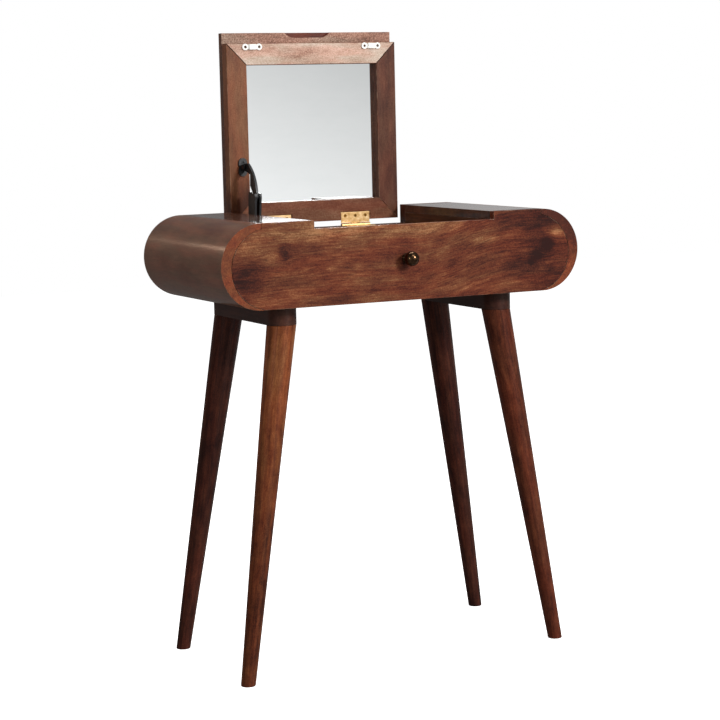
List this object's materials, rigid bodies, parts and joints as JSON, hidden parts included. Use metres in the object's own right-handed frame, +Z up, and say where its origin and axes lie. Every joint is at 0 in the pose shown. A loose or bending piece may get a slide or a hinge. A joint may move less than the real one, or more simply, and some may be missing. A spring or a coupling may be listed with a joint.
{
  "type": "vanity table with lift-up mirror",
  "caption": "Compact wooden vanity table with rounded ends on splayed tapered legs; a hinged lid holds a framed mirror above a storage well and a drawer.",
  "frame": {"origin": "on the floor, under the middle of the whole object with its lid open", "axes": "+X to the right seen from the front, +Y towards the back, +Z up"},
  "size_m": [0.668, 0.404, 1.0725],
  "materials": {
    "front_wood": "satin chestnut-stained mango wood, wavy horizontal figure",
    "cap_wood": "satin stained wood, end grain lighter and redder",
    "top_wood": "satin to glossy lacquer over dark stained wood",
    "frame_wood": "satin stained wood",
    "inner_wood": "matte stained wood",
    "leg_wood": "satin stained turned wood",
    "brass": "plated, satin",
    "steel": "zinc plated",
    "mirror": "silvered glass",
    "backing": "matte card",
    "white_plastic": "satin moulded",
    "black_metal": "satin black",
    "bronze": "antique dark bronze, satin"
  },
  "bodies": {
    "carcass": {"end_cap_left": "cap_wood", "end_cap_right": "cap_wood", "top_board_left": "top_wood", "top_board_right": "top_wood", "bottom_board": "inner_wood", "back_panel": "top_wood", "divider_left": "inner_wood", "divider_right": "inner_wood", "front_rail": "inner_wood", "drawer_runner_left": "inner_wood", "drawer_runner_right": "inner_wood", "drawer_stops": "inner_wood", "dowels": "inner_wood", "back_screws": "steel", "batten_left": "leg_wood", "batten_right": "leg_wood", "leg_front_left": "leg_wood", "leg_front_right": "leg_wood", "leg_back_left": "leg_wood", "leg_back_right": "leg_wood", "leg_inserts": "brass", "leg_bolts": "steel", "batten_screws": "steel", "strike_plates": "steel", "hinge_body_leaf_left": "brass", "hinge_body_leaf_right": "brass", "hinge_pins": "brass", "hinge_body_screws": "brass", "stay_damper": "black_metal", "stay_damper_shaft": "steel", "stay_damper_screws": "steel"},
    "lid": {"lid_board": "top_wood", "frame_top": "frame_wood", "frame_bottom": "frame_wood", "frame_left": "frame_wood", "frame_right": "frame_wood", "mirror_glass": "mirror", "mirror_backing": "backing", "hinge_lid_leaf_left": "brass", "hinge_lid_leaf_right": "brass", "hinge_lid_screws": "brass", "catch_left": "white_plastic", "catch_right": "white_plastic", "catch_screws": "steel", "frame_brads": "steel", "stay_lid_plate": "black_metal", "stay_lid_pin": "steel", "stay_lid_screws": "black_metal"},
    "stay_lower": {"stay_lower_arm": "black_metal", "stay_elbow_pin": "steel"},
    "stay_upper": {"stay_upper_arm": "black_metal"},
    "drawer": {"drawer_front": "front_wood", "drawer_subfront": "inner_wood", "drawer_side_left": "inner_wood", "drawer_side_right": "inner_wood", "drawer_back": "inner_wood", "drawer_bottom": "inner_wood", "drawer_screws": "steel", "knob": "bronze", "knob_bolt": "steel"}
  },
  "joints": [
    {"name": "lid_hinge", "type": "hinge", "parent": "carcass", "child": "lid", "pos_m": [0, 0.1695, 0.7275], "axis": [1, 0, 0], "range_deg": [0, 90]},
    {"name": "stay_lower_pivot", "type": "hinge", "parent": "carcass", "child": "stay_lower", "pos_m": [-0.1395, 0.1345, 0.6775], "axis": [1, 0, 0], "range_deg": [0, 90]},
    {"name": "stay_elbow", "type": "hinge", "parent": "stay_lower", "child": "stay_upper", "pos_m": [-0.1395, 0.1235, 0.7885], "axis": [1, 0, 0], "range_deg": [-90, 0]},
    {"name": "drawer_slide", "type": "slide", "parent": "carcass", "child": "drawer", "axis": [0, -1, 0], "range_m": [0, 0.2]}
  ],
  "couplings": [
    {"joint": "stay_lower_pivot", "follows": "lid_hinge", "ratio": 1},
    {"joint": "stay_elbow", "follows": "lid_hinge", "ratio": -1}
  ]
}
